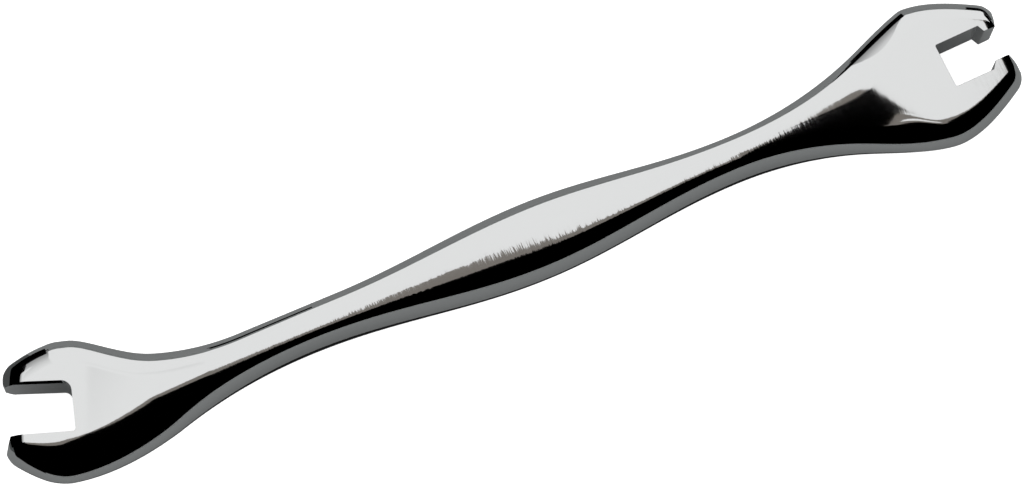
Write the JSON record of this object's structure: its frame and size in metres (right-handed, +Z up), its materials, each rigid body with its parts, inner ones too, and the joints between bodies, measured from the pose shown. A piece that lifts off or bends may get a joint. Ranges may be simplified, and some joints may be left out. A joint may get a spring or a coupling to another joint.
{
  "type": "spoke wrench",
  "caption": "Slim chrome-plated spoke wrench with a swelling grip, an open jaw set at an angle at one end and a four-sided jaw with a narrow mouth at the other.",
  "frame": {"origin": "on the flat under the middle of the grip, at its widest place", "axes": "+X along the grip towards the four-sided jaw, +Y across the grip, +Z up through the thickness"},
  "size_m": [0.1283, 0.0198, 0.0071],
  "materials": {
    "chrome_plate": "polished, fine lines across the grip"
  },
  "bodies": {
    "root": {"wrench_body": "chrome_plate"}
  },
  "joints": []
}
